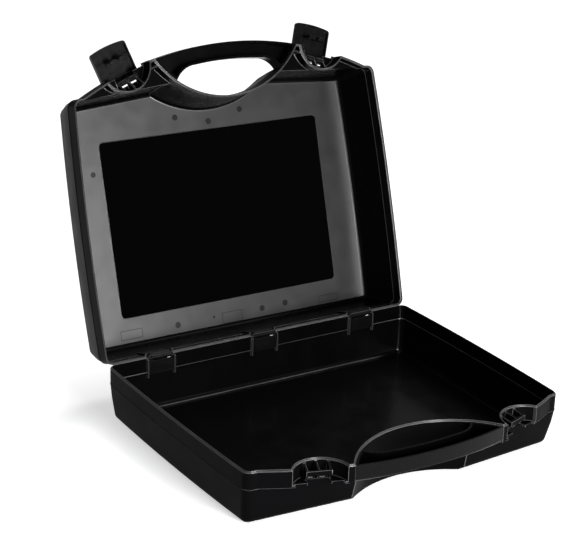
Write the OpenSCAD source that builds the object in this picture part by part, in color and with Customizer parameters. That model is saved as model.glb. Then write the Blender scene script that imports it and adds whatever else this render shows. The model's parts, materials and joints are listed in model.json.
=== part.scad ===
/* [Case] */
// Width of the case at the rim, at its widest place
case_w = 433; // [400:1:460]
// Distance from the back of the rim to that widest place
wide_l = 110; // [80:5:140]
// How far each side draws in from there to the front corners
side_bow = 5.5; // [2:0.5:8]
// Distance from the back of the rim to the crown of the grip
crown_l = 363; // [340:0.5:380]
// Radius of the arched front, seen from above
front_r = 430; // [420:5:480]
// How far the front corners of the tray lie behind the crown
shoulder_in = 48.5; // [46:0.5:56]
// Extra length of the tray wall at the middle of the front
front_rise = 14; // [8:1:16]
// How far in from each side the front band ends
belt_in = 13.5; // [12:0.5:18]
// Height of the lower half, from the floor to the joint line
base_h = 65.5; // [56:0.5:90]
// Height of the upper half, from the joint line to its top
lid_h = 71.5; // [56:0.5:90]
// Height of the upright band next to the joint line, in each half
band_h = 20; // [19:0.5:22]
// Wall thickness of both shells
wall = 2.5; // [2:0.1:3]
// Radius of the upright corners, seen from above
corner_r = 10; // [9:0.5:14]
// Radius between the walls and the floor
floor_r = 9; // [7:0.5:10]
// How far the side walls lean in above the floor radius
side_lean = 3.5; // [2:0.5:6]
// How far the side walls of the upper half lean in from the band to its panel
lid_lean = 8.5; // [5:0.5:10]
// How far the front wall leans in above the floor radius
front_lean = 7; // [4:0.5:10]
// How far the back wall leans in above the floor radius
back_lean = 4; // [2:0.5:6]
// Gap left between the two rims when the case is shut
rim_gap = 0.3; // [0.2:0.1:0.6]
// Height of the lip that stands on the rim of the lower half
lip_h = 1.5; // [1:0.1:2]

/* [Lid panel] */
// Distance from each side of the case to the smooth label field
label_side = 59.5; // [50:0.5:75]
// Distance from the back of the rim to the label field
label_back = 42; // [36:1:60]
// Distance from the label field to the hollow wall behind the fingers
label_front = 38.5; // [34:0.5:60]
// Depth of the label field
label_depth = 0.8; // [0.4:0.1:1.2]

/* [Handle] */
// Radius of the hollow wall behind the fingers
finger_r = 120; // [112:1:126]
// Depth of the finger hollow behind the crown
finger_deep = 64.5; // [60:0.5:68]
// How far the hollow wall leans in at the floor
finger_lean = 10; // [6:1:14]
// Radius between the hollow wall and the floor, inside
finger_fillet = 4; // [2:0.5:6]
// Thickness of the grip, seen from above
grip_t = 21; // [17:0.5:22]
// Height of half the grip at its ends
grip_h = 20; // [18:0.5:20]
// Rise of the underside of the grip at its middle
grip_arch = 2.5; // [2:0.5:5]
// Half the straight stretch of the finger opening
grip_straight = 46; // [40:1:50]
// Radius at the ends of the finger opening
opening_r = 31.7; // [28:0.1:34]
// Gap between the grip and the shell at its ends
grip_gap = 0.4; // [0.2:0.1:0.8]
// Edge radius along the outside of the grip
grip_edge = 4.5; // [3:0.5:7]

/* [Latches] */
// Distance of each latch pocket from the middle of the case
latch_x = 136; // [130:1:144]
// Radius of the latch pockets
pocket_r = 31.5; // [30:0.5:33]
// Distance of the pocket centres outside the arched front
pocket_out = 8; // [7:0.5:10]
// Width of each latch
latch_w = 50; // [44:1:52]
// Thickness of the skin of the latch
latch_skin = 2.2; // [1.6:0.1:2.6]
// How far the latch stands proud of the arched front
latch_proud = 8.5; // [6:0.5:9]
// Length of the latch below its pin
latch_reach = 45.5; // [40:0.5:47]
// Length of the latch above its pin
latch_heel = 1; // [0.5:0.1:3]
// Crown of the lower edge of the latch
latch_crown = 1.5; // [0.5:0.1:2.5]
// Depth of the rim of the latch
latch_rim = 6.5; // [5:0.5:7]
// Diameter of the latch pins
latch_pin_d = 3; // [2.4:0.1:3.4]
// Distance of the latch pins behind the arched front
latch_pin_in = 11.5; // [10:0.5:12.5]
// Height of the latch pins above the joint line
latch_pin_up = 16; // [14:0.5:16]
// Running clearance between a latch and its pin, on the radius
pin_clear = 0.05; // [0.02:0.01:0.1]
// Distance between the ribs of a latch pocket
rib_pitch = 13; // [12:0.5:14]
// Thickness of the ribs of a latch pocket
rib_t = 2.4; // [1.8:0.1:2.8]
// Depth of the catch bar below the joint line
catch_drop = 5.5; // [4.5:0.5:6]
// Thickness of the catch bar, seen from above
catch_t = 4; // [3:0.5:4.5]
// Height of the catch bar
catch_h = 5; // [4:0.5:5.5]
// Clearance between a claw and the catch bar
catch_clear = 0.4; // [0.3:0.1:0.6]
// Angle of a raised latch from shut
latch_open = 90; // [80:1:92]

/* [Hinges] */
// Distance of the outer hinges from the sides of the case
hinge_edge = 71.5; // [55:0.5:95]
// Width of a hinge over its ears
hinge_w = 33; // [28:1:38]
// Thickness of the ears of a hinge
ear_t = 3; // [2.5:0.1:4]
// Diameter of the hinge knuckles
knuckle_d = 7; // [6.4:0.1:7.4]
// Diameter of the hinge pins
hinge_pin_d = 3; // [2:0.1:3.4]
// Height of the hinge leaves
leaf_h = 20; // [14:0.5:20]
// Thickness of the hinge leaves
leaf_t = 2; // [1.6:0.1:2.4]
// Length of the stop that the lid rests on
stop_l = 9.5; // [8:0.5:12]
// Thickness of that stop
stop_t = 2.4; // [2:0.1:2.8]
// Width of that stop
stop_w = 20; // [14:1:24]
// Angle of the open lid from shut
lid_open = 106.9; // [95:0.1:112]

/* [Hidden] */
$fn = 96;
case_black = [0.05, 0.05, 0.055];
latch_black = [0.09, 0.09, 0.1];
steel = [0.62, 0.63, 0.65];

// The back of the rim lies at y = back_y, and the front is towards minus y.
back_y = 165;
hull_sides = 32;
hull_in = 0.05;
side_steps = 8;
least_r = 1;
overlap = 0.1;
far = 60;
arch_y = back_y - crown_l + front_r;
finger_l = crown_l - finger_deep;
finger_y = back_y - finger_l - finger_r;
front_l = crown_l - shoulder_in;
grip_in_r = front_r - grip_t;
opening_y = arch_y - sqrt(pow(grip_in_r, 2) - pow(grip_straight, 2)) + opening_r;
belt_x = case_w / 2 - belt_in;
hinge_x = case_w / 2 - hinge_edge;
label_w = case_w - 2 * label_side;
label_l = finger_l - label_back - label_front;
latch_turn = asin(latch_x / front_r);
pocket_y = arch_y - front_r * cos(latch_turn);
pocket_floor = band_h - wall;
lip_t = wall / 2;
lip_clear = 0.15;
half_gap = rim_gap / 2;
eye_r = latch_pin_d / 2 + 2.1;
label_r = 6;
floor_gap_l = 17.5;
floor_cut = 4;
tongue_t = 3;
tongue_l = 10;
tongue_h = 9;
tongue_in = 9.5;
tongue_gap = 0.4;
arch_gap = front_r + finger_r - finger_deep;
hollow_turn = acos((pow(finger_r, 2) + pow(arch_gap, 2) - pow(front_r, 2)) / (2 * finger_r * arch_gap));
tongue_turn = hollow_turn - tongue_in / finger_r * 180 / PI;
web_in = 9;
web_t = 1.8;
notch_h = knuckle_d / 2 + 0.7;
leaf_side = 0.5;
leaf_gap = 0.2;
leaf_y = back_y - wall - leaf_t - leaf_gap;
rail_t = 1.6;
rail_h = 24;
fit_gap = 0.3;
catch_in = 6;
claw_t = 2.2;
claw_hook = 1.8;
latch_corner = 4;
patch_w = 18;
patch_h = 12;
patch_down = latch_reach - 19.5;

// How far behind the arched front the back wall of a pocket lies, x to the side of its middle.
function pocket_back(x) = sqrt(pow(pocket_r, 2) - pow(x, 2)) - pocket_out;

// Half the width of the case at distance l from the back of the rim: a shallow parabola.
function side_x(l) = case_w / 2 - side_bow * pow((l - wide_l) / (front_l - wide_l), 2);

// Distances from the back at which the bowed sides are drawn, from corner to corner.
side_l = [for (i = [0 : side_steps]) corner_r + (front_l - 2 * corner_r) * i / side_steps];

// Outline of the tray, drawn in by d all round.
module tray_outline(d) {
    r = corner_r - d;
    xb = side_x(corner_r) - corner_r;
    xf = side_x(front_l - corner_r) - corner_r;
    yb = back_y - corner_r;
    yf = back_y - front_l + corner_r;
    right = [for (i = [0 : side_steps]) [side_x(side_l[i]) - d, back_y - side_l[i]]];
    left = [for (i = [side_steps : -1 : 0]) [d - side_x(side_l[i]), back_y - side_l[i]]];
    polygon(concat([[-xb, yb + r], [xb, yb + r]], right,
                   [[xf, yf - r], [0, yf - front_rise - r], [-xf, yf - r]], left));
    for (sx = [-1, 1]) {
        translate([sx * xb, yb])
            circle(r);
        translate([sx * xf, yf])
            circle(r);
    }
}

// Band that follows the arched front, drawn in by d.
module belt_outline(d) {
    intersection() {
        translate([0, arch_y])
            circle(front_r - d, $fn = 360);
        translate([-belt_x + d, back_y - crown_l - 1])
            square([2 * (belt_x - d), crown_l / 2]);
    }
}

// Whole band outline without the finger hollow and the pockets, drawn in by d.
module band_outline(d) {
    difference() {
        union() {
            tray_outline(d);
            belt_outline(d);
        }
        translate([0, finger_y])
            circle(finger_r + d, $fn = 240);
        for (sx = [-1, 1])
            translate([sx * latch_x, pocket_y])
                rotate(sx * latch_turn)
                    translate([0, -pocket_out])
                        circle(pocket_r + d);
    }
}

// One level of the tray, drawn in by inset: discs whose hull is the wall at that height.
module tray_level(z, side, lean, inset) {
    r = max(corner_r - inset, least_r);
    centre_in = r + inset;
    yb = back_y - centre_in - back_lean * lean;
    yf = back_y - front_l + centre_in + front_lean * lean;
    for (i = [0 : side_steps])
        for (sx = [-1, 1])
            translate([sx * (side_x(side_l[i]) - centre_in - side * lean),
                       yb + (yf - yb) * i / side_steps, z])
                cylinder(r = r - hull_in, h = 0.01, $fn = hull_sides);
    translate([0, yf - front_rise, z])
        cylinder(r = r - hull_in, h = 0.01, $fn = hull_sides);
}

// Tray below the band, for a half of height h whose sides lean in by side, drawn in by d;
// top is its highest level.
module tray_body(h, side, d, top) {
    hull() {
        tray_level(top, side, 0, d);
        tray_level(-band_h - 1, side, 0.01, d);
        tray_level(-band_h - (h - band_h) * 0.35, side, 0.3, d);
        for (a = [0 : 11.25 : 90])
            tray_level(floor_r - h - (floor_r - d) * sin(a), side, 1,
                       d + (floor_r - d) * (1 - cos(a)));
    }
}

// Space in front of the hollow wall, or with d that space and the wall, with a fillet of radius f.
module finger_space(h, d, f) {
    r = finger_r + d;
    foot = r + finger_lean;
    fillet = [for (a = [0 : 22.5 : 90]) [foot + f * (1 - sin(a)), wall - h + f * (1 - cos(a))]];
    translate([0, finger_y, 0])
        rotate_extrude($fn = 240)
            polygon(concat([[0, -h - 1], [foot + f, -h - 1]], f > 0 ? fillet : [],
                           [[r, -band_h], [r, far], [0, far]]));
}

// Places a child at a latch pocket: x along the front, y into the case, z up from the joint.
module at_pocket(side) {
    mirror([side < 0 ? 1 : 0, 0, 0])
        translate([latch_x, pocket_y, 0])
            rotate([0, 0, latch_turn])
                children();
}

module pocket_space(d, bottom, height) {
    translate([0, -pocket_out, bottom])
        cylinder(r = pocket_r + d, h = height);
}

// Opening in the pocket floor between its outer ribs, and the front edge of that floor cut back.
module pocket_gap() {
    translate([-rib_pitch, -floor_cut, -band_h - 1])
        cube([2 * rib_pitch, floor_gap_l + floor_cut, wall + 2]);
    translate([-latch_w / 2 - 2, -floor_cut, -band_h - 1])
        cube([latch_w + 4, 2 * floor_cut, wall + 2]);
}

// Short web between the pocket wall and the hollow wall.
module pillar_webs() {
    intersection() {
        for (side = [-1, 1])
            at_pocket(side)
                translate([-far, web_in, -band_h + overlap])
                    cube([far, web_t, band_h - wall]);
        translate([0, 0, -far])
            linear_extrude(2 * far)
                band_outline(overlap);
        finger_zone();
    }
}

// Keeps what lies within reach of the hollow wall.
module finger_zone() {
    translate([0, finger_y, -far])
        cylinder(r = finger_r + 12, h = 2 * far);
}

// Tongues of the grip that pass square through the hollow wall, or with extra the slots for them.
module tongues(extra) {
    for (sx = [-1, 1])
        translate([0, finger_y, -grip_h / 2])
            rotate([0, 0, -sx * tongue_turn])
                translate([0, finger_r, 0])
                    cube([tongue_t + extra, tongue_l + extra, tongue_h + extra], center = true);
}

// One half shell with its joint line at z = 0 and its floor at z = -h, and sides that lean in.
module half_shell(h, side) {
    difference() {
        union() {
            tray_body(h, side, 0, overlap - band_h);
            translate([0, 0, -band_h])
                linear_extrude(band_h - half_gap)
                    union() {
                        tray_outline(0);
                        belt_outline(0);
                    }
        }
        finger_space(h, 0, 0);
        for (side = [-1, 1])
            at_pocket(side)
                pocket_space(0, -pocket_floor, far);
        difference() {
            union() {
                tray_body(h, side, wall, 1 - pocket_floor);
                translate([0, 0, -pocket_floor])
                    linear_extrude(far)
                        union() {
                            tray_outline(wall);
                            belt_outline(wall);
                        }
            }
            finger_space(h, wall, finger_fillet);
            for (side = [-1, 1])
                at_pocket(side)
                    pocket_space(wall, -band_h, far);
        }
        for (side = [-1, 1])
            at_pocket(side)
                pocket_gap();
        tongues(tongue_gap);
        hinge_notches();
    }
    difference() {
        pillar_webs();
        tongues(tongue_gap);
    }
    hinge_rails();
}

// Cuts in the back of the rim where the knuckles sit.
module hinge_notches() {
    for (x = [-hinge_x, 0, hinge_x])
        translate([x - hinge_w / 2 - leaf_side, back_y - wall - 1, -notch_h])
            cube([hinge_w + 2 * leaf_side, wall + 3, notch_h + 3]);
}

// Guide rails on the inside of the back wall, one pair at each hinge leaf.
module hinge_rails() {
    for (x = [-hinge_x, 0, hinge_x])
        for (sx = [-1, 1])
            translate([x + sx * (hinge_w / 2 + leaf_side + rail_t / 2) - rail_t / 2,
                       back_y - wall - leaf_t - 1, -rail_h])
                cube([rail_t, leaf_t + 1 + overlap, rail_h - half_gap - 1]);
}

// Lip that stands on the inner half of the rim.
module rim_lip() {
    difference() {
        translate([0, 0, -half_gap - overlap])
            linear_extrude(lip_h + overlap)
                difference() {
                    band_outline(wall - lip_t + lip_clear);
                    band_outline(wall);
                }
        hinge_notches();
    }
}

// Ribs and bar that the claws of a latch hook on to.
module catch() {
    x0 = rib_pitch + rib_t / 2;
    for (x = [-rib_pitch, 0, rib_pitch])
        translate([x + rib_t / 2, 0, 0])
            rotate([90, 0, -90])
                linear_extrude(rib_t)
                    polygon([[-pocket_back(x) - 1, -1.5], [-catch_in - 1, -catch_drop],
                             [-catch_in - 1, -catch_drop - catch_h], [-catch_in - 6, -pocket_floor - overlap],
                             [-pocket_back(x) - 1, -pocket_floor - overlap]]);
    translate([-x0, catch_in, -catch_drop - catch_h])
        cube([2 * x0, catch_t, catch_h]);
}

// Ears of the upper pocket that carry the latch pin, in the upturned half.
module pin_ears() {
    for (x = [-rib_pitch, 0, rib_pitch])
        translate([x + rib_t / 2, 0, 0])
            rotate([90, 0, -90])
                linear_extrude(rib_t)
                    difference() {
                        union() {
                            polygon([[-pocket_back(x) - 1, -1.5], [-latch_pin_in - 1.5, eye_r - latch_pin_up],
                                     [-latch_pin_in, -pocket_floor - overlap],
                                     [-pocket_back(x) - 1, -pocket_floor - overlap]]);
                            translate([-latch_pin_in, -latch_pin_up])
                                circle(eye_r);
                        }
                        translate([-latch_pin_in, -latch_pin_up])
                            circle(latch_pin_d / 2);
                        translate([-far, -band_h - far])
                            square([2 * far, far]);
                    }
}

module label_field(extra) {
    x = label_w / 2 - label_r;
    y1 = back_y - label_back - label_r;
    y0 = back_y - label_back - label_l + label_r;
    linear_extrude(label_depth + extra)
        union() {
            for (sx = [-1, 1])
                for (y = [y0, y1])
                    translate([sx * x, y])
                        circle(label_r);
            translate([-x, y0 - label_r])
                square([2 * x, y1 - y0 + 2 * label_r]);
            translate([-x - label_r, y0])
                square([2 * x + 2 * label_r, y1 - y0]);
        }
}

// Turns the upper half, made in place on the shut case, to its open place.
module open_lid() {
    translate([0, back_y, base_h])
        rotate([-lid_open, 0, 0])
            translate([0, -back_y, 0])
                children();
}

module base_shell() {
    color(case_black)
        translate([0, 0, base_h]) {
            half_shell(base_h, side_lean);
            rim_lip();
            for (side = [-1, 1])
                at_pocket(side)
                    catch();
        }
}

module lid_shell() {
    color(case_black)
        open_lid()
            mirror([0, 0, 1]) {
                difference() {
                    union() {
                        half_shell(lid_h, lid_lean);
                        translate([0, 0, wall - lid_h - overlap])
                            label_field(overlap);
                    }
                    translate([0, 0, -lid_h - 1])
                        label_field(1);
                    translate([0, 0, -half_gap - lip_h - rim_gap])
                        linear_extrude(far)
                            difference() {
                                band_outline(wall - lip_t - lip_clear);
                                band_outline(wall + 1);
                            }
                }
                for (side = [-1, 1])
                    at_pocket(side)
                        pin_ears();
            }
}

// Plan of a grip half, or with d the plan drawn in by d.
module grip_plan(d) {
    difference() {
        intersection() {
            translate([0, arch_y])
                circle(front_r - d, $fn = 360);
            translate([0, finger_y])
                circle(finger_r - grip_gap - d, $fn = 240);
            translate([-finger_r, back_y - crown_l - 1])
                square([2 * finger_r, finger_deep + 2]);
        }
        intersection() {
            translate([0, arch_y])
                circle(grip_in_r + d, $fn = 360);
            translate([-grip_straight, back_y - crown_l])
                square([2 * grip_straight, finger_deep + 1]);
        }
        for (sx = [-1, 1])
            translate([sx * grip_straight, opening_y])
                circle(opening_r + d);
    }
}

// Turned envelope whose lower outer edge is rounded by r, drawn in by d.
module grip_envelope(d, r) {
    translate([0, arch_y, -grip_h + d])
        rotate_extrude($fn = 360)
            translate([front_r - d - far, 0])
                union() {
                    square([far - r, far]);
                    translate([0, r])
                        square([far, far - r]);
                    translate([far - r, r])
                        circle(r, $fn = 48);
                }
}

// Long cylinder under the grip that gives it an arched underside.
module arch_under(d) {
    r = (pow(grip_straight * 2, 2) + pow(grip_arch, 2)) / (2 * grip_arch);
    translate([0, back_y - crown_l - 5, -grip_h + grip_arch - r])
        rotate([-90, 0, 0])
            cylinder(r = r + d, h = far, $fn = 720);
}

// Half of the grip with its joint line at z = 0.
module half_grip() {
    difference() {
        intersection() {
            translate([0, 0, -grip_h])
                linear_extrude(grip_h - half_gap)
                    grip_plan(0);
            grip_envelope(0, grip_edge);
        }
        arch_under(0);
        difference() {
            intersection() {
                translate([0, 0, wall - grip_h])
                    linear_extrude(far)
                        grip_plan(wall);
                grip_envelope(wall, grip_edge - wall / 2);
            }
            arch_under(wall);
        }
    }
    tongues(0);
}

module grip_lower() {
    color(case_black)
        translate([0, 0, base_h])
            half_grip();
}

module grip_upper() {
    color(case_black)
        open_lid()
            mirror([0, 0, 1])
                half_grip();
}

// Leaf that slides between the rails, with the joint line at z = 0.
module leaf_plate() {
    translate([-hinge_w / 2, leaf_y, -leaf_h])
        cube([hinge_w, leaf_t, leaf_h - notch_h]);
}

// Neck of width w that joins a leaf to its knuckle through the notch in the rim.
module leaf_neck(w, top) {
    translate([-w / 2, leaf_y, -notch_h - overlap])
        cube([w, leaf_t, notch_h + overlap - top]);
    translate([-w / 2, leaf_y, fit_gap - notch_h])
        cube([w, back_y - leaf_y, notch_h - fit_gap - top]);
}

// Base leaf: a plate with an ear at each end.
module leaf_base(x) {
    color(latch_black)
        translate([x, 0, base_h]) {
            leaf_plate();
            for (sx = [-1, 1])
                translate([sx * (hinge_w / 2 - ear_t / 2), 0, 0])
                    difference() {
                        union() {
                            leaf_neck(ear_t, 0);
                            translate([-ear_t / 2, back_y, 0])
                                rotate([0, 90, 0])
                                    cylinder(d = knuckle_d, h = ear_t);
                        }
                        translate([-ear_t, back_y, 0])
                            rotate([0, 90, 0])
                                cylinder(d = hinge_pin_d, h = 2 * ear_t);
                    }
        }
}

// Lid leaf: a plate with the long middle knuckle and the stop.
module leaf_lid(x) {
    w = hinge_w - 2 * ear_t - 2 * fit_gap;
    color(latch_black)
        open_lid()
            translate([x, 0, 0]) {
                mirror([0, 0, 1])
                    leaf_plate();
                difference() {
                    union() {
                        mirror([0, 0, 1])
                            leaf_neck(w, half_gap);
                        translate([-w / 2, back_y, 0])
                            rotate([0, 90, 0])
                                cylinder(d = knuckle_d, h = w);
                        translate([0, back_y, 0])
                            rotate([lid_open, 0, 0])
                                translate([-stop_w / 2, fit_gap, -stop_l])
                                    cube([stop_w, stop_t, stop_l - hinge_pin_d / 2 - 0.4]);
                    }
                    translate([-w, back_y, 0])
                        rotate([0, 90, 0])
                            cylinder(r = hinge_pin_d / 2 + pin_clear, h = 2 * w);
                }
            }
}

module hinge_pin(x) {
    color(steel)
        translate([x - hinge_w / 2, back_y, base_h])
            rotate([0, 90, 0])
                cylinder(d = hinge_pin_d, h = hinge_w);
}

// Rounded outline of the latch skin, x along the front and y up.
module latch_outline(d) {
    r = latch_corner;
    w = latch_w / 2 - d;
    top = latch_heel - d;
    tip = d - latch_reach;
    low = tip + latch_crown;
    tip_r = (pow(w - r, 2) + pow(latch_crown, 2)) / (2 * latch_crown);
    intersection() {
        union() {
            polygon([[-w, top], [-w, low + r], [-w + r, low + r], [-w + r, tip - 1],
                     [w - r, tip - 1], [w - r, low + r], [w, low + r], [w, top]]);
            for (sx = [-1, 1])
                translate([sx * (w - r), low + r])
                    circle(r);
        }
        translate([0, tip + tip_r])
            circle(tip_r, $fn = 240);
    }
}

// Latch in its shut place, about its pin at the origin; minus y is outwards.
module latch_body() {
    skin_y = -latch_pin_in - latch_proud;
    arm_w = rib_pitch - rib_t - 1.6;
    flange_in = skin_y + latch_rim;
    claw_top = -latch_pin_up - catch_drop - catch_h - catch_clear;
    claw_back = catch_in + catch_t + catch_clear - latch_pin_in;
    crown_r = 260;
    difference() {
        intersection() {
            translate([0, flange_in, 0])
                rotate([90, 0, 0])
                    linear_extrude(flange_in - skin_y)
                        latch_outline(0);
            translate([0, skin_y + crown_r, -latch_reach - 1])
                cylinder(r = crown_r, h = latch_reach + latch_heel + 2, $fn = 360);
        }
        translate([0, flange_in + 1, 0])
            rotate([90, 0, 0])
                linear_extrude(flange_in + 1 - skin_y - latch_skin)
                    latch_outline(1.8);
    }
    for (sx = [-1, 1])
        translate([sx * rib_pitch / 2, 0, 0]) {
            difference() {
                union() {
                    translate([-arm_w / 2, skin_y + latch_skin - overlap, -3])
                        cube([arm_w, -skin_y - latch_skin + overlap, 3 + latch_heel]);
                    translate([-arm_w / 2, 0, 0])
                        rotate([0, 90, 0])
                            cylinder(r = eye_r, h = arm_w);
                }
                translate([-arm_w, 0, 0])
                    rotate([0, 90, 0])
                        cylinder(r = latch_pin_d / 2 + pin_clear, h = 2 * arm_w);
            }
            translate([-arm_w / 2, skin_y + latch_skin - overlap, claw_top - claw_t])
                cube([arm_w, claw_back + claw_t - skin_y - latch_skin + overlap, claw_t]);
            translate([-arm_w / 2, claw_back, claw_top - claw_t])
                cube([arm_w, claw_t, claw_t + claw_hook]);
        }
    for (z = [-6.5, claw_top - claw_t])
        translate([-latch_w / 2 + 1, skin_y + latch_skin - overlap, z])
            cube([latch_w - 2, 1.8 + overlap, 1.4]);
    translate([-patch_w / 2, skin_y + latch_skin - overlap, -patch_down])
        cube([patch_w, 0.8 + overlap, patch_h]);
}

module latch(side) {
    color(latch_black)
        open_lid()
            at_pocket(side)
                translate([0, latch_pin_in, latch_pin_up])
                    rotate([-latch_open, 0, 0])
                        latch_body();
}

module latch_pin(side) {
    l = 2 * rib_pitch + rib_t;
    color(steel)
        open_lid()
            at_pocket(side)
                translate([-l / 2, latch_pin_in, latch_pin_up])
                    rotate([0, 90, 0])
                        cylinder(d = latch_pin_d, h = l);
}

base_shell();
lid_shell();
grip_lower();
grip_upper();
leaf_base(-hinge_x);  // hinge_leaf_base_left
leaf_base(0);  // hinge_leaf_base_middle
leaf_base(hinge_x);  // hinge_leaf_base_right
leaf_lid(-hinge_x);  // hinge_leaf_lid_left
leaf_lid(0);  // hinge_leaf_lid_middle
leaf_lid(hinge_x);  // hinge_leaf_lid_right
hinge_pin(-hinge_x);  // hinge_pin_left
hinge_pin(0);  // hinge_pin_middle
hinge_pin(hinge_x);  // hinge_pin_right
latch(-1);  // latch_left
latch(1);  // latch_right
latch_pin(-1);  // latch_pin_left
latch_pin(1);  // latch_pin_right
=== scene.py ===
import bpy
import bmesh
import json
import math
import numpy as np
from mathutils import Matrix, Vector


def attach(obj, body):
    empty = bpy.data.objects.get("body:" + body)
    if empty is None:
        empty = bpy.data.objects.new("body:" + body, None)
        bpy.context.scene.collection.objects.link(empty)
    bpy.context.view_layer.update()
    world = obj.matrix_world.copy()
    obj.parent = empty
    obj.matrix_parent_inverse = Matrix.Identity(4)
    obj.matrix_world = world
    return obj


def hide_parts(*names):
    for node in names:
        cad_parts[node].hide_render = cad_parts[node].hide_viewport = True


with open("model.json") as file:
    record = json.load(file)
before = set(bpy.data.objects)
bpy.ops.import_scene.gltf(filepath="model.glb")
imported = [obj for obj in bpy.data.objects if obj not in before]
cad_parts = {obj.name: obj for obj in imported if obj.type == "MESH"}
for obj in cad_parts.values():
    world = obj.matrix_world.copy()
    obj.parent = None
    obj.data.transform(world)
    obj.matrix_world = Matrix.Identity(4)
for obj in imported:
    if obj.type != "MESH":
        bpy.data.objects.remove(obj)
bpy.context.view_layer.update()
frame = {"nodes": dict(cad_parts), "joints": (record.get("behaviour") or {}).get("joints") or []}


# Half shells
# The two halves are thin mouldings of black plastic. Outside they are a dull black, the
# inner walls are glossy, the panel of the lid has a fine satin grain and its middle field
# is polished. Every sharp edge has a small round, and the rounds are coloured a lighter grey
# as a painted highlight, so that they show as thin bright lines.
LID_HINGE = [joint for joint in frame["joints"] if joint["name"] == "lid_hinge"][0]
HINGE_Y, HINGE_Z = LID_HINGE["pos_m"][1:]
LID_OPEN = math.radians(LID_HINGE["range_deg"][1])
PANEL_UP = 0.069
FIELD_UP = 0.0682
SAME_LEVEL = 0.0003
FACES_THE_JOINT = 0.97
BASE_MIDDLE = (0.0, 0.0, 0.04)
LID_MIDDLE = (0.0, 0.247, 0.21)
EDGE_ROUND = 0.00045
ROUND_STEPS = 2
MERGE_DISTANCE = 0.00002
SHARP_ANGLE = math.radians(32)
FLAT_ANGLE = math.radians(0.6)
OUTSIDE_BLACK = (0.0022, 0.0022, 0.0025, 1.0)
INSIDE_BLACK = (0.0012, 0.0012, 0.0014, 1.0)
FIELD_BLACK = (0.0008, 0.0008, 0.0009, 1.0)
PANEL_GREY = (0.01, 0.01, 0.0105, 1.0)
# The edge rounds are a lighter grey than the black plastic: a painted highlight line along every sharp
# edge.
PAINTED_EDGE_HIGHLIGHT = (0.05, 0.05, 0.051, 1.0)
OUTSIDE, INNER_WALL, PANEL, FIELD, EDGE = range(5)
RIPPLE_DEPTH = 0.0005
GRAIN_DEPTH = 0.0002
GRAIN_SCALE = 1400.0


def moulded_plastic(name, colour, shine, roughness, ripple, ripple_size, grain=0.0, streaks=1.0):
    """Plastic as it leaves a mould: one colour under a gloss whose roughness wanders between
    the two given values, a faint ripple of the given size in metres, and a fine grain.
    Streaks stretches the ripple along the height of a wall."""
    material = bpy.data.materials.new(name)
    material.use_nodes = True
    nodes, links = material.node_tree.nodes, material.node_tree.links
    shader = nodes["Principled BSDF"]
    shader.inputs["Base Color"].default_value = colour
    shader.inputs["Specular IOR Level"].default_value = shine
    place = nodes.new("ShaderNodeTexCoord")
    stretch = nodes.new("ShaderNodeMapping")
    stretch.inputs["Scale"].default_value = (1.0, 1.0, 1.0 / streaks)
    links.new(place.outputs["Object"], stretch.inputs["Vector"])
    cloud = nodes.new("ShaderNodeTexNoise")
    cloud.inputs["Scale"].default_value = 1.0 / ripple_size
    cloud.inputs["Detail"].default_value = 4.0
    links.new(stretch.outputs["Vector"], cloud.inputs["Vector"])
    spread = nodes.new("ShaderNodeMapRange")
    spread.inputs["From Min"].default_value = 0.3
    spread.inputs["From Max"].default_value = 0.7
    spread.inputs["To Min"].default_value = roughness[0]
    spread.inputs["To Max"].default_value = roughness[1]
    links.new(cloud.outputs["Fac"], spread.inputs["Value"])
    links.new(spread.outputs["Result"], shader.inputs["Roughness"])
    bump = nodes.new("ShaderNodeBump")
    bump.inputs["Strength"].default_value = ripple
    bump.inputs["Distance"].default_value = RIPPLE_DEPTH
    links.new(cloud.outputs["Fac"], bump.inputs["Height"])
    links.new(bump.outputs["Normal"], shader.inputs["Normal"])
    if grain > 0:
        fine = nodes.new("ShaderNodeTexNoise")
        fine.inputs["Scale"].default_value = GRAIN_SCALE
        fine.inputs["Detail"].default_value = 2.0
        links.new(place.outputs["Object"], fine.inputs["Vector"])
        etched = nodes.new("ShaderNodeBump")
        etched.inputs["Strength"].default_value = grain
        etched.inputs["Distance"].default_value = GRAIN_DEPTH
        links.new(fine.outputs["Fac"], etched.inputs["Height"])
        links.new(bump.outputs["Normal"], etched.inputs["Normal"])
        links.new(etched.outputs["Normal"], shader.inputs["Normal"])
    return material


outside_plastic = moulded_plastic(
    "outside_plastic", OUTSIDE_BLACK, shine=0.012, roughness=(0.34, 0.42),
    ripple=0.05, ripple_size=0.03, grain=0.06)
inside_plastic = moulded_plastic(
    "inside_plastic", INSIDE_BLACK, shine=0.28, roughness=(0.19, 0.24),
    ripple=0.03, ripple_size=0.03, streaks=3.0)
panel_plastic = moulded_plastic(
    "panel_plastic", PANEL_GREY, shine=0.95, roughness=(0.31, 0.36),
    ripple=0.05, ripple_size=0.02, grain=0.1)
# Material of the edge rounds: a lighter grey with strong gloss, which paints a highlight along every sharp
# edge.
painted_highlight_edge = moulded_plastic(
    "painted_highlight_edge", PAINTED_EDGE_HIGHLIGHT, shine=0.8, roughness=(0.28, 0.34),
    ripple=0.03, ripple_size=0.01)
lid_wall_plastic = moulded_plastic(
    "lid_wall_plastic", INSIDE_BLACK, shine=0.07, roughness=(0.22, 0.32),
    ripple=0.03, ripple_size=0.03, streaks=3.0)
field_plastic = moulded_plastic(
    "field_plastic", FIELD_BLACK, shine=0.05, roughness=(0.06, 0.09),
    ripple=0.02, ripple_size=0.05)


def lid_turn(vectors):
    """Directions of the row frame in the lid's own directions: y and z turned back about the
    hinge line by the angle at which the lid stands open."""
    c, s = math.cos(LID_OPEN), math.sin(LID_OPEN)
    y, z = vectors[:, 1], vectors[:, 2]
    return np.stack([vectors[:, 0], y * c - z * s, y * s + z * c], axis=1)


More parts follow.
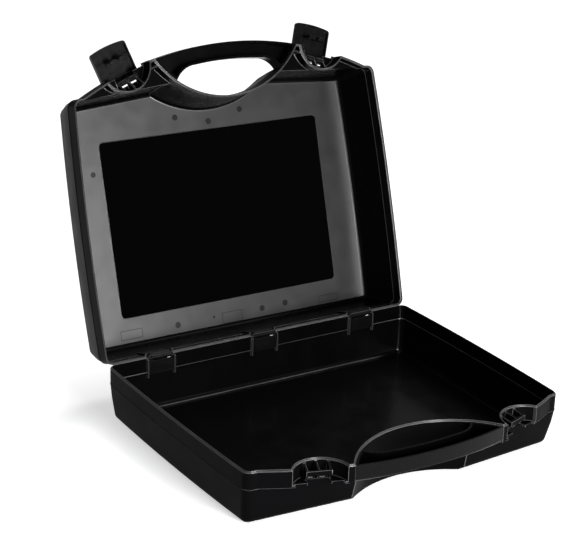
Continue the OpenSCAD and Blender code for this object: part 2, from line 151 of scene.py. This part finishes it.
def merged_copy(name, piece_name, flatten):
    """A copy of a CAD piece whose loose triangles are joined at their corners. With flatten,
    triangles that lie in one plane are also joined into larger faces."""
    mesh = frame["nodes"][name].data.copy()
    piece = bpy.data.objects.new(piece_name, mesh)
    bpy.context.scene.collection.objects.link(piece)
    work = bmesh.new()
    work.from_mesh(mesh)
    bmesh.ops.remove_doubles(work, verts=work.verts, dist=MERGE_DISTANCE)
    if flatten:
        bmesh.ops.dissolve_limit(work, angle_limit=FLAT_ANGLE, verts=work.verts, edges=work.edges)
    work.to_mesh(mesh)
    work.free()
    mesh.materials.clear()
    return piece


def round_edges(piece, width):
    """Smooth faces with sharp edges, and a round of the given width along each sharp edge.
    Large flat faces keep their own direction, so that only the rounds are shaded round."""
    mesh = piece.data
    mesh.polygons.foreach_set("use_smooth", np.ones(len(mesh.polygons), dtype=bool))
    mesh.set_sharp_from_angle(angle=SHARP_ANGLE)
    mesh.update()
    rounding = piece.modifiers.new("edge_round", "BEVEL")
    rounding.width = width
    rounding.segments = ROUND_STEPS
    rounding.limit_method = "ANGLE"
    rounding.angle_limit = SHARP_ANGLE
    flat_first = piece.modifiers.new("flat_first", "WEIGHTED_NORMAL")
    flat_first.keep_sharp = True
    return rounding


def moulding(name, body, middle, wall_plastic):
    """A half shell with one material for each region: a face lies inside when it looks
    towards the middle of its half, and otherwise outside. The edge rounds have their own."""
    piece = merged_copy(name, name + "_moulding", flatten=False)
    mesh = piece.data
    for material in (outside_plastic, wall_plastic, panel_plastic, field_plastic, painted_highlight_edge):
        mesh.materials.append(material)
    count = len(mesh.polygons)
    centre = np.empty(count * 3, np.float32)
    normal = np.empty(count * 3, np.float32)
    mesh.polygons.foreach_get("center", centre)
    mesh.polygons.foreach_get("normal", normal)
    centre, normal = centre.reshape(-1, 3), normal.reshape(-1, 3)
    looks_inwards = np.sum((centre - np.array(middle)) * normal, axis=1) < 0
    region = np.where(looks_inwards, INNER_WALL, OUTSIDE).astype(np.int32)
    if body == "lid":
        up = lid_turn(centre - np.array([0.0, HINGE_Y, HINGE_Z]))[:, 2]
        flat = lid_turn(normal)[:, 2] < -FACES_THE_JOINT
        region[flat & (np.abs(up - PANEL_UP) < SAME_LEVEL)] = PANEL
        region[flat & (np.abs(up - FIELD_UP) < SAME_LEVEL)] = FIELD
    mesh.polygons.foreach_set("material_index", region)
    rounding = round_edges(piece, EDGE_ROUND)
    # The rounds take the lighter grey of the painted highlight.
    rounding.material = EDGE
    rounding.use_clamp_overlap = False
    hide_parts(name)
    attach(piece, body)


moulding("base_shell", "base", BASE_MIDDLE, inside_plastic)
moulding("lid_shell", "lid", LID_MIDDLE, lid_wall_plastic)


# Moulding marks on the lid panel
# Ejector pins leave shallow dark discs with a soft lip on the satin panel of the lid, and
# the slides of the mould leave rectangular outlines behind the hinges. The marks stand a
# hair's breadth off the panel. Places are in millimetres: across, and in front of the hinge.
MM = 0.001
MARK_LIP = 0.0006
MARK_RISE = 0.00012
MARK_LIFT = 0.00003
CIRCLE_STEPS = 48
LIP_SECTION = ((0.0, 0.0), (0.3, 1.0), (0.7, 1.0), (1.0, 0.0))
MARK_BLACK = (0.003, 0.003, 0.0032, 1.0)
PIN_MARKS = [(-47.9, 279.1, 3.8), (-1.4, 269.4, 3.8), (45.5, 279.4, 3.8), (-168.5, 222.8, 3.4),
             (-81.0, 21.9, 3.8), (42.2, 22.1, 3.8), (77.4, 23.3, 3.8), (-29.0, 22.9, 1.6)]
SLIDE_MARKS = [(-161.0, -131.0, 16.0, 27.5), (-17.0, 12.0, 12.0, 26.0), (129.0, 159.0, 14.0, 23.0)]


def circle_outline(x, front, radius):
    """Points at even angles round a circle, and the directions towards its middle."""
    angle = np.linspace(0, 2 * math.pi, CIRCLE_STEPS, endpoint=False)
    ray = np.stack([np.cos(angle), np.sin(angle)], axis=1)
    return np.array([x, front]) * MM + ray * radius * MM, -ray


def frame_outline(x0, x1, front0, front1):
    """The four corners of a rectangle, and the diagonal directions inwards from them."""
    corners = np.array([[x0, front0], [x1, front0], [x1, front1], [x0, front1]]) * MM
    inward = np.array([[1, 1], [-1, 1], [-1, -1], [1, -1]], dtype=float)
    return corners, inward


def lip_rings(outlines):
    """Lips along closed outlines. Each repeats its outline at four distances inwards, low, high,
    high and low, so that the section of the lip is a low trapezium. Also returns, for each
    outline, the numbers of its innermost points."""
    points, faces, inner_rings = [], [], []
    start = 0
    for outline, inward in outlines:
        n = len(outline)
        for step, up in LIP_SECTION:
            ring = outline + inward * MARK_LIP * step
            points.append(np.column_stack([ring, np.full(n, up * MARK_RISE)]))
        i = np.arange(n)
        j = (i + 1) % n
        for row in range(len(LIP_SECTION) - 1):
            a = start + row * n
            faces.append(np.stack([a + i, a + j, a + n + j, a + n + i], axis=1))
        start += n * len(LIP_SECTION)
        inner_rings.append(list(range(start - n, start)))
    return np.concatenate(points), np.concatenate(faces).tolist(), inner_rings


def lid_point(local):
    """Points of the lid, as distance across, in front of the hinge line and above the joint
    line, turned about the hinge line to the open lid in the row frame."""
    c, s = math.cos(LID_OPEN), math.sin(LID_OPEN)
    x, dy, up = local[:, 0], -local[:, 1], local[:, 2]
    return np.stack([x, HINGE_Y + dy * c + up * s, HINGE_Z - dy * s + up * c], axis=1)


circles = [circle_outline(*mark) for mark in PIN_MARKS]
frames = [frame_outline(*mark) for mark in SLIDE_MARKS]
points, faces, inner_rings = lip_rings(circles + frames)
faces += inner_rings[:len(circles)]
points[:, 2] = PANEL_UP - MARK_LIFT - points[:, 2]
marks_mesh = bpy.data.meshes.new("panel_marks")
marks_mesh.from_pydata(lid_point(points).tolist(), [], faces)
marks_mesh.update()
marks_mesh.materials.append(moulded_plastic(
    "mark_plastic", MARK_BLACK, shine=0.3, roughness=(0.34, 0.42), ripple=0.05, ripple_size=0.004))
panel_marks = bpy.data.objects.new("panel_marks", marks_mesh)
bpy.context.scene.collection.objects.link(panel_marks)
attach(panel_marks, "lid")


# Handle
# The handle is split along the joint line. Each half is a hollow moulding of glossy black
# plastic, keyed into its shell, and its edges have small rounds.
HANDLE_ROUND = 0.0003
HANDLE_BLACK = (0.0012, 0.0012, 0.0014, 1.0)


def rounded_piece(name, body, material, width):
    """A CAD piece in its place, merged, flattened and with rounds on its sharp edges."""
    piece = merged_copy(name, name + "_rounded", flatten=True)
    piece.data.materials.append(material)
    round_edges(piece, width)
    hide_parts(name)
    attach(piece, body)


grip_plastic = moulded_plastic(
    "grip_plastic", HANDLE_BLACK, shine=0.09, roughness=(0.24, 0.3), ripple=0.04, ripple_size=0.02)
rounded_piece("grip_lower", "base", grip_plastic, HANDLE_ROUND)
rounded_piece("grip_upper", "lid", grip_plastic, HANDLE_ROUND)


# Latches
# Each latch is a curved flap with ribs and claws, moulded in a coarser satin black, and
# turns on a pin between the ears of the upper pocket.
LATCH_ROUND = 0.0003
SATIN_BLACK = (0.0015, 0.0015, 0.0018, 1.0)
latch_plastic = moulded_plastic(
    "latch_plastic", SATIN_BLACK, shine=0.2, roughness=(0.28, 0.4),
    ripple=0.08, ripple_size=0.008, grain=0.1)
rounded_piece("latch_left", "latch_l", latch_plastic, LATCH_ROUND)
rounded_piece("latch_right", "latch_r", latch_plastic, LATCH_ROUND)


# Hinge leaves
# Three pairs of leaves are pushed between guide rails behind the rims. They are satin
# mouldings with knuckles that share one pin for each pair.
LEAF_ROUND = 0.0002
hinge_plastic = moulded_plastic(
    "hinge_plastic", SATIN_BLACK, shine=0.2, roughness=(0.28, 0.4),
    ripple=0.08, ripple_size=0.01, grain=0.1)
for spot in ("left", "middle", "right"):
    rounded_piece("hinge_leaf_base_" + spot, "base", hinge_plastic, LEAF_ROUND)
    rounded_piece("hinge_leaf_lid_" + spot, "lid", hinge_plastic, LEAF_ROUND)


# Pins
# The pins of the hinges and latches are cut from plain drawn steel wire. They keep their
# CAD form and take only a metal finish.
WIRE_GREY = (0.12, 0.12, 0.125, 1.0)
pin_steel = moulded_plastic(
    "pin_steel", WIRE_GREY, shine=0.5, roughness=(0.3, 0.42), ripple=0.05, ripple_size=0.002)
pin_steel.node_tree.nodes["Principled BSDF"].inputs["Metallic"].default_value = 1.0
for name in ("hinge_pin_left", "hinge_pin_middle", "hinge_pin_right", "latch_pin_left", "latch_pin_right"):
    node = frame["nodes"][name]
    node.data.materials.clear()
    node.data.materials.append(pin_steel)


# Floor
# A white paper sweep lies under the case. It shows white to the camera and in
# reflections, and keeps the soft shadow of the case.
FLOOR_SIDE = 24.0
FLOOR_WHITE = (0.86, 0.86, 0.86, 1.0)
FLOOR_LIFT = 0.58


def seen_rays(nodes, links):
    """One for rays from the camera, from a mirror or through glass, and otherwise nought."""
    path = nodes.new("ShaderNodeLightPath")
    first = nodes.new("ShaderNodeMath")
    first.operation = "MAXIMUM"
    links.new(path.outputs["Is Camera Ray"], first.inputs[0])
    links.new(path.outputs["Is Glossy Ray"], first.inputs[1])
    both = nodes.new("ShaderNodeMath")
    both.operation = "MAXIMUM"
    links.new(first.outputs[0], both.inputs[0])
    links.new(path.outputs["Is Transmission Ray"], both.inputs[1])
    return both


floor_paper = bpy.data.materials.new("floor_paper")
floor_paper.use_nodes = True
nodes, links = floor_paper.node_tree.nodes, floor_paper.node_tree.links
nodes.clear()
out = nodes.new("ShaderNodeOutputMaterial")
matt = nodes.new("ShaderNodeBsdfDiffuse")
matt.inputs["Color"].default_value = FLOOR_WHITE
glow = nodes.new("ShaderNodeEmission")
lift = nodes.new("ShaderNodeMath")
lift.operation = "MULTIPLY"
lift.inputs[1].default_value = FLOOR_LIFT
links.new(seen_rays(nodes, links).outputs[0], lift.inputs[0])
links.new(lift.outputs[0], glow.inputs["Strength"])
both = nodes.new("ShaderNodeAddShader")
links.new(matt.outputs[0], both.inputs[0])
links.new(glow.outputs[0], both.inputs[1])
links.new(both.outputs[0], out.inputs["Surface"])
half = FLOOR_SIDE / 2
corners = [(-half, -half, 0), (half, -half, 0), (half, half, 0), (-half, half, 0)]
floor_mesh = bpy.data.meshes.new("floor")
floor_mesh.from_pydata(corners, [], [(0, 1, 2, 3)])
floor_mesh.materials.append(floor_paper)
floor = bpy.data.objects.new("floor", floor_mesh)
bpy.context.scene.collection.objects.link(floor)


# Light
# A broad key light and a box above, behind and to the right, throw the shadow to the left.
# A narrow box in front lights the satin panel of the lid most at its left, and the room is dim.
ROOM_LIGHT = 0.14
KEY_STRENGTH = 1.1
KEY_SPREAD = math.radians(35)
KEY_DIRECTION = (-0.6, -0.3, -0.9)
TOP_PLACE, TOP_AIM, TOP_SIZE, TOP_WATTS = (0.8, 0.6, 2.3), (0, 0, 0.1), (1.6, 1.6), 20
FRONT_PLACE, FRONT_AIM, FRONT_SIZE, FRONT_WATTS = (0.0, -1.9, 0.5), (0, 0.2, 0.2), (0.5, 0.85), 60

world = bpy.data.worlds.new("studio")
bpy.context.scene.world = world
world.use_nodes = True
sky = world.node_tree.nodes["Background"]
sky.inputs["Color"].default_value = (ROOM_LIGHT, ROOM_LIGHT, ROOM_LIGHT, 1.0)
sky.inputs["Strength"].default_value = 1.0


def placed_lamp(name, lamp, place, direction):
    """An object for a lamp at a place, turned so that the lamp shines in a direction."""
    holder = bpy.data.objects.new(name, lamp)
    holder.location = place
    holder.rotation_mode = "QUATERNION"
    holder.rotation_quaternion = direction.to_track_quat("-Z", "Y")
    bpy.context.scene.collection.objects.link(holder)


def softbox(name, place, aim, size, watts):
    """A rectangular lamp at a place, turned so that it faces a point."""
    lamp = bpy.data.lights.new(name, "AREA")
    lamp.shape = "RECTANGLE"
    lamp.size, lamp.size_y = size
    lamp.energy = watts
    placed_lamp(name, lamp, place, Vector(aim) - Vector(place))


key_lamp = bpy.data.lights.new("key_light", "SUN")
key_lamp.energy = KEY_STRENGTH
key_lamp.angle = KEY_SPREAD
placed_lamp("key_light", key_lamp, (0, 0, 0), Vector(KEY_DIRECTION))
softbox("top_box", TOP_PLACE, TOP_AIM, TOP_SIZE, TOP_WATTS)
softbox("front_box", FRONT_PLACE, FRONT_AIM, FRONT_SIZE, FRONT_WATTS)


# Camera
# The camera stands at the photograph's viewing angle, slightly tilted.
VIEW_AZIMUTH = -0.5726
VIEW_ELEVATION = 0.36245
VIEW_ROLL = 0.03537
VIEW_TARGET = (-0.07045, 0.0, 0.2068)
VIEW_DISTANCE = 1.86165
VIEW_LENS = 103.75
VIEW_SENSOR = 36.0

camera = bpy.data.objects.new("camera", bpy.data.cameras.new("camera"))
camera.data.lens = VIEW_LENS
camera.data.sensor_width = VIEW_SENSOR
back = Vector((math.sin(VIEW_AZIMUTH) * math.cos(VIEW_ELEVATION),
               -math.cos(VIEW_AZIMUTH) * math.cos(VIEW_ELEVATION),
               math.sin(VIEW_ELEVATION)))
level = back.cross(Vector((0, 0, -1))).normalized()
upright = back.cross(level)
side = level * math.cos(VIEW_ROLL) + upright * math.sin(VIEW_ROLL)
turn = Matrix((side, back.cross(side), back)).transposed().to_4x4()
camera.matrix_world = Matrix.Translation(Vector(VIEW_TARGET) + back * VIEW_DISTANCE) @ turn
bpy.context.scene.collection.objects.link(camera)
bpy.context.scene.camera = camera
bpy.context.scene.view_settings.view_transform = "Standard"
